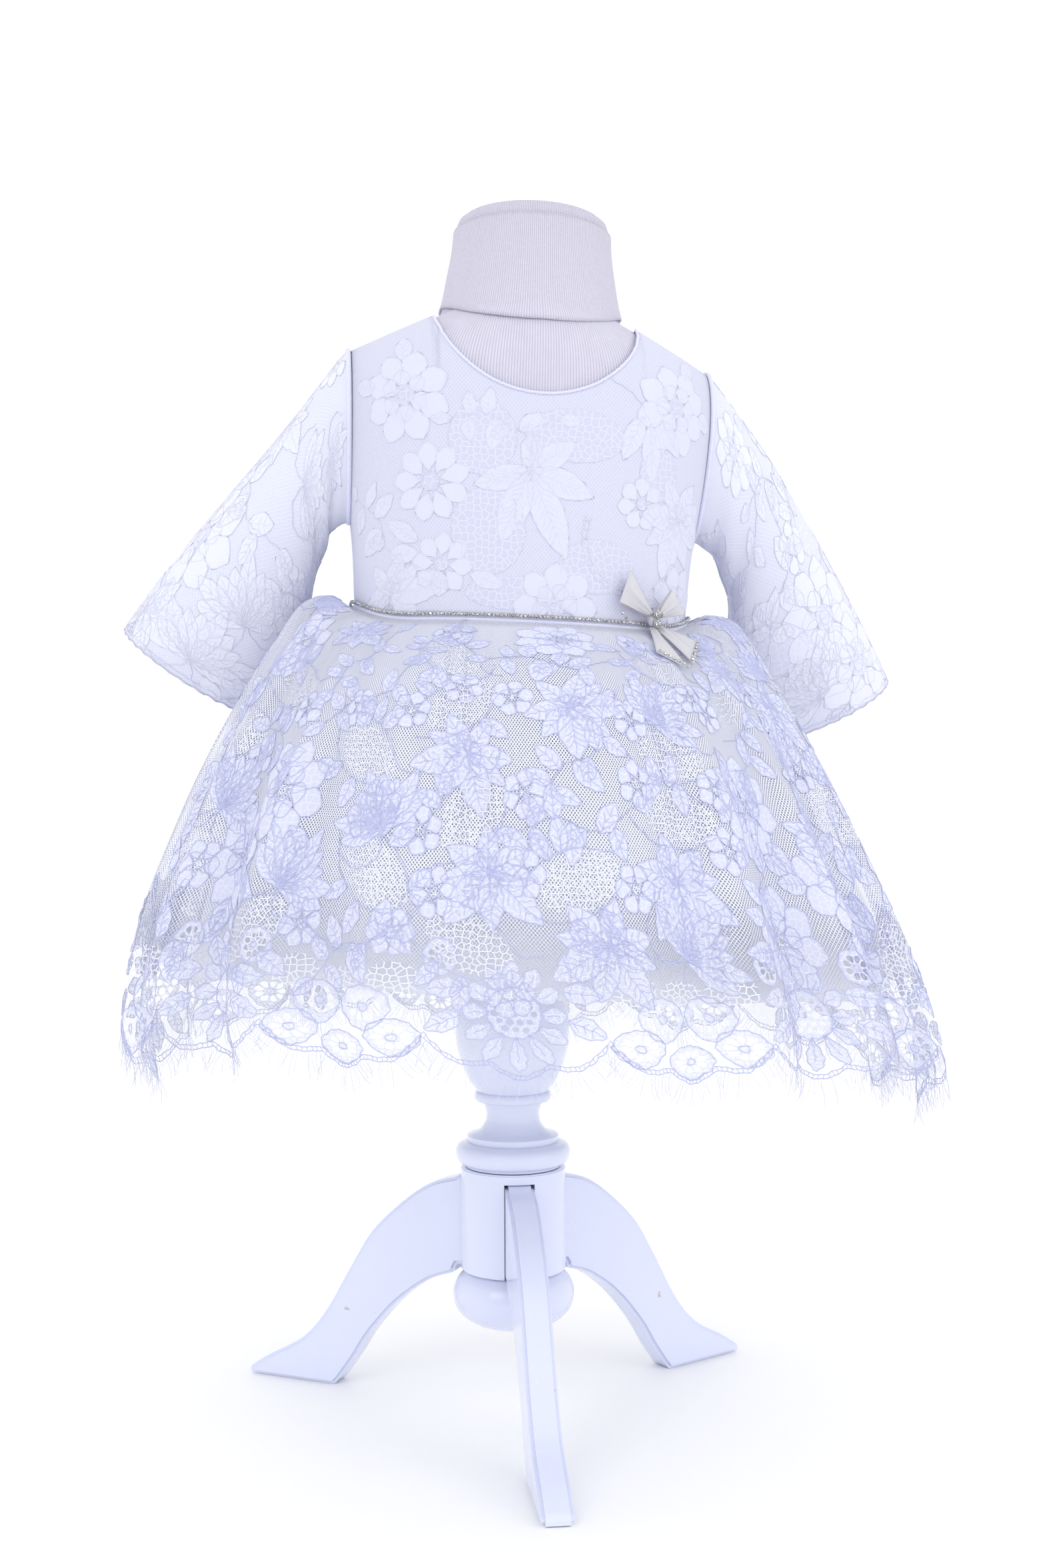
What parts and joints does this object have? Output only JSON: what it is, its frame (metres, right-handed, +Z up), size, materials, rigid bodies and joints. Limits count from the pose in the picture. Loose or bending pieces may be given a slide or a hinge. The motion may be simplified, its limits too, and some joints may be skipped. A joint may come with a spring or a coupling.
{
  "type": "christening gown on a limbless dress form with a tripod stand",
  "caption": "Infant's christening gown of corded lace over tulle and satin, with a sparkling belt and bow, shown on a limbless knit-covered form on a white turned tripod stand.",
  "frame": {"origin": "on the floor, under the middle of the footprint; the stand's axis is 11.6 mm towards -X and 17.8 mm towards +Y of it", "axes": "+Z up, front of the gown towards -Y, the wearer's left towards +X"},
  "size_m": [0.5106, 0.3914, 0.7415],
  "materials": {
    "lace": "matte corded lace with a slight sheen on the cords",
    "tulle": "matte net",
    "satin": "satin",
    "ribbon": "satin ribbon",
    "crystal": "cut stone with a silvered back",
    "cup_chain": "bright silver with small stones",
    "knit": "matte ribbed knit",
    "paint": "gloss white paint"
  },
  "bodies": {
    "root": {"belt": "cup_chain", "bodice_back_left": "lace", "bodice_back_right": "lace", "bodice_front": "lace", "bow_knot": "ribbon", "bow_loop_left": "ribbon", "bow_loop_right": "ribbon", "bow_stone_lower": "crystal", "bow_stone_upper": "crystal", "bow_tail_left": "ribbon", "bow_tail_right": "ribbon", "form_torso": "knit", "hem_fringe_back": "lace", "hem_fringe_front": "lace", "leg_front": "paint", "leg_left": "paint", "leg_right": "paint", "neck_band": "knit", "petticoat_tulle": "tulle", "skirt_lace_back": "lace", "skirt_lace_front": "lace", "skirt_lining": "satin", "sleeve_left": "lace", "sleeve_right": "lace", "stand_ball": "paint", "stand_column": "paint", "stand_hub": "paint"}
  },
  "joints": []
}
